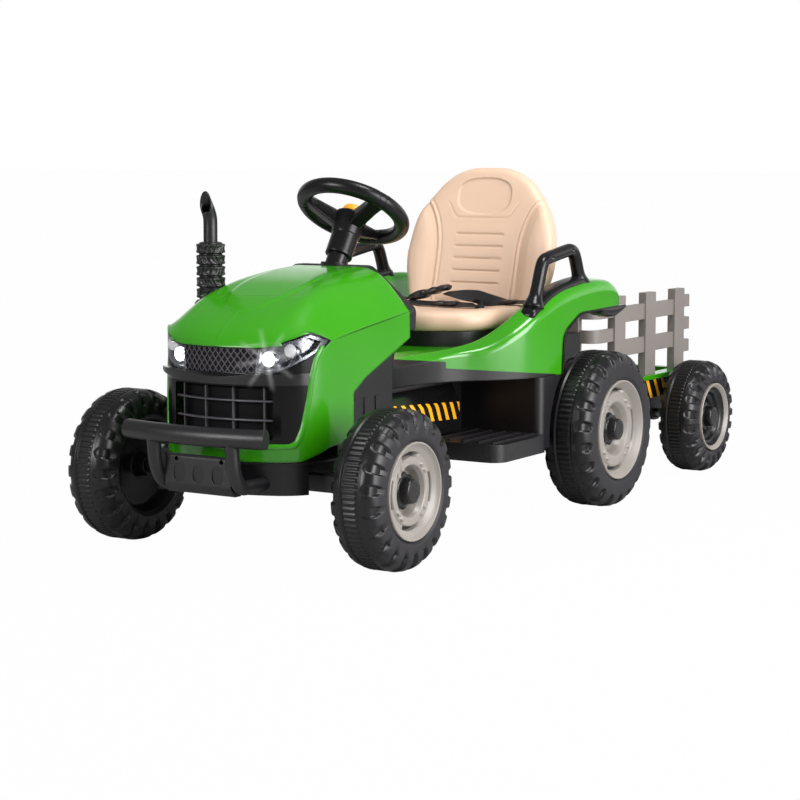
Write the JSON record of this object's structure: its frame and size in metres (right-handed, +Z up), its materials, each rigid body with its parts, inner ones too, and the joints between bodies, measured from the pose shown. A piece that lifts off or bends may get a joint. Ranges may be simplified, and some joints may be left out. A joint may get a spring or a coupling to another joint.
{
  "type": "ride-on tractor toy",
  "caption": "Battery ride-on toy tractor with a steered front axle, moulded seat, exhaust stack and bumper, pulling a fenced trailer on a drop-in hitch pin.",
  "frame": {"origin": "on the ground, at the middle of the overall length and width", "axes": "+X forward, +Y to the driver's left, +Z up"},
  "size_m": [1.484, 0.604, 0.6067],
  "materials": {
    "green": "gloss",
    "gloss_black": "gloss",
    "black": "satin",
    "steel": "satin",
    "tan": "satin",
    "webbing": "woven",
    "lens": "clear",
    "reflector": "bright",
    "amber": "gloss",
    "red": "gloss",
    "battery_case": "matte",
    "fence_grey": "satin",
    "tyre_black": "satin",
    "rim_grey": "satin",
    "cap_black": "satin"
  },
  "bodies": {
    "tractor": {"hood": "green", "nose_shell": "green", "rear_body": "green", "steering_column": "gloss_black", "exhaust": "gloss_black", "armrests": "gloss_black", "bumper_bar": "gloss_black", "fascia": "gloss_black", "front_axle_beam": "black", "lower_grille": "black", "front_chassis": "black", "bumper_plate": "black", "floor_pan": "black", "console": "black", "seat_box": "black", "fender_trims": "black", "seat_riser": "black", "dashboard": "black", "gearmotors": "black", "control_module": "black", "hitch_bracket": "black", "rear_axle": "steel", "pivot_pins": "steel", "seat": "tan", "lap_belt": "webbing", "headlamp_lenses": "lens", "headlamp_reflectors": "reflector", "battery": "battery_case"},
    "steering": {"steering_wheel": "black", "steering_shaft": "steel"},
    "horn": {"horn_button": "amber"},
    "knuckle_left": {"knuckle_left": "black"},
    "knuckle_right": {"knuckle_right": "black"},
    "tie_rod": {"tie_rod": "steel"},
    "pedal": {"accelerator_pedal": "black"},
    "power_button": {"power_button": "red"},
    "direction_rocker": {"direction_rocker": "black"},
    "trailer": {"trailer_bed": "green", "trailer_frame": "black", "trailer_axle": "steel", "trailer_side_fences": "fence_grey", "trailer_front_fence": "fence_grey"},
    "front_left_wheel": {"front_left_tyre": "tyre_black", "front_left_rim": "rim_grey", "front_left_hub_cap": "cap_black"},
    "front_right_wheel": {"front_right_tyre": "tyre_black", "front_right_rim": "rim_grey", "front_right_hub_cap": "cap_black"},
    "rear_left_wheel": {"rear_left_tyre": "tyre_black", "rear_left_rim": "rim_grey", "rear_left_hub_cap": "cap_black"},
    "rear_right_wheel": {"rear_right_tyre": "tyre_black", "rear_right_rim": "rim_grey", "rear_right_hub_cap": "cap_black"},
    "trailer_left_wheel": {"trailer_left_tyre": "tyre_black", "trailer_left_rim": "rim_grey", "trailer_left_hub_cap": "cap_black"},
    "trailer_right_wheel": {"trailer_right_tyre": "tyre_black", "trailer_right_rim": "rim_grey", "trailer_right_hub_cap": "cap_black"}
  },
  "joints": [
    {"name": "steer", "type": "hinge", "parent": "tractor", "child": "steering", "pos_m": [0.272, 0, 0.536], "axis": [-0.5299, 0, 0.848], "range_deg": [-25, 25]},
    {"name": "horn_press", "type": "slide", "parent": "steering", "child": "horn", "axis": [0.5299, 0, -0.848], "range_m": [0, 0.003], "stiffness_N_per_m": 400, "springref_m": -0.002},
    {"name": "kingpin_left", "type": "hinge", "parent": "tractor", "child": "knuckle_left", "pos_m": [0.554, 0.185, 0.125], "axis": [0, 0, 1], "range_deg": [-25, 25]},
    {"name": "kingpin_right", "type": "hinge", "parent": "tractor", "child": "knuckle_right", "pos_m": [0.554, -0.185, 0.125], "axis": [0, 0, 1], "range_deg": [-25, 25]},
    {"name": "tie_rod_pivot", "type": "hinge", "parent": "knuckle_left", "child": "tie_rod", "pos_m": [0.509, 0.185, 0.113], "axis": [0, 0, 1], "range_deg": [-25, 25]},
    {"name": "front_left_spin", "type": "hinge", "parent": "knuckle_left", "child": "front_left_wheel", "pos_m": [0.554, 0.254, 0.125], "axis": [0, 1, 0], "continuous": true},
    {"name": "front_right_spin", "type": "hinge", "parent": "knuckle_right", "child": "front_right_wheel", "pos_m": [0.554, -0.254, 0.125], "axis": [0, 1, 0], "continuous": true},
    {"name": "rear_left_spin", "type": "hinge", "parent": "tractor", "child": "rear_left_wheel", "pos_m": [-0.146, 0.254, 0.141], "axis": [0, 1, 0], "continuous": true},
    {"name": "rear_right_spin", "type": "hinge", "parent": "tractor", "child": "rear_right_wheel", "pos_m": [-0.146, -0.254, 0.141], "axis": [0, 1, 0], "continuous": true},
    {"name": "trailer_left_spin", "type": "hinge", "parent": "trailer", "child": "trailer_left_wheel", "pos_m": [-0.626, 0.234, 0.111], "axis": [0, 1, 0], "continuous": true},
    {"name": "trailer_right_spin", "type": "hinge", "parent": "trailer", "child": "trailer_right_wheel", "pos_m": [-0.626, -0.234, 0.111], "axis": [0, 1, 0], "continuous": true},
    {"name": "hitch_yaw", "type": "hinge", "parent": "tractor", "child": "trailer", "pos_m": [-0.292, 0, 0.134], "axis": [0, 0, 1], "range_deg": [-12, 12]},
    {"name": "pedal_press", "type": "hinge", "parent": "tractor", "child": "pedal", "pos_m": [0.09, -0.172, 0.159], "axis": [0, 1, 0], "range_deg": [0, 9], "stiffness_Nm_per_rad": 1.2, "springref_deg": -17.19},
    {"name": "power_press", "type": "slide", "parent": "tractor", "child": "power_button", "axis": [1, 0, 0], "range_m": [0, 0.002], "stiffness_N_per_m": 400, "springref_m": -0.001},
    {"name": "direction_rock", "type": "hinge", "parent": "tractor", "child": "direction_rocker", "pos_m": [0.327, -0.062, 0.4], "axis": [0, 1, 0], "range_deg": [-8, 8]}
  ],
  "couplings": [
    {"joint": "kingpin_left", "follows": "steer", "ratio": 1},
    {"joint": "kingpin_right", "follows": "steer", "ratio": 1},
    {"joint": "tie_rod_pivot", "follows": "steer", "ratio": -1}
  ]
}
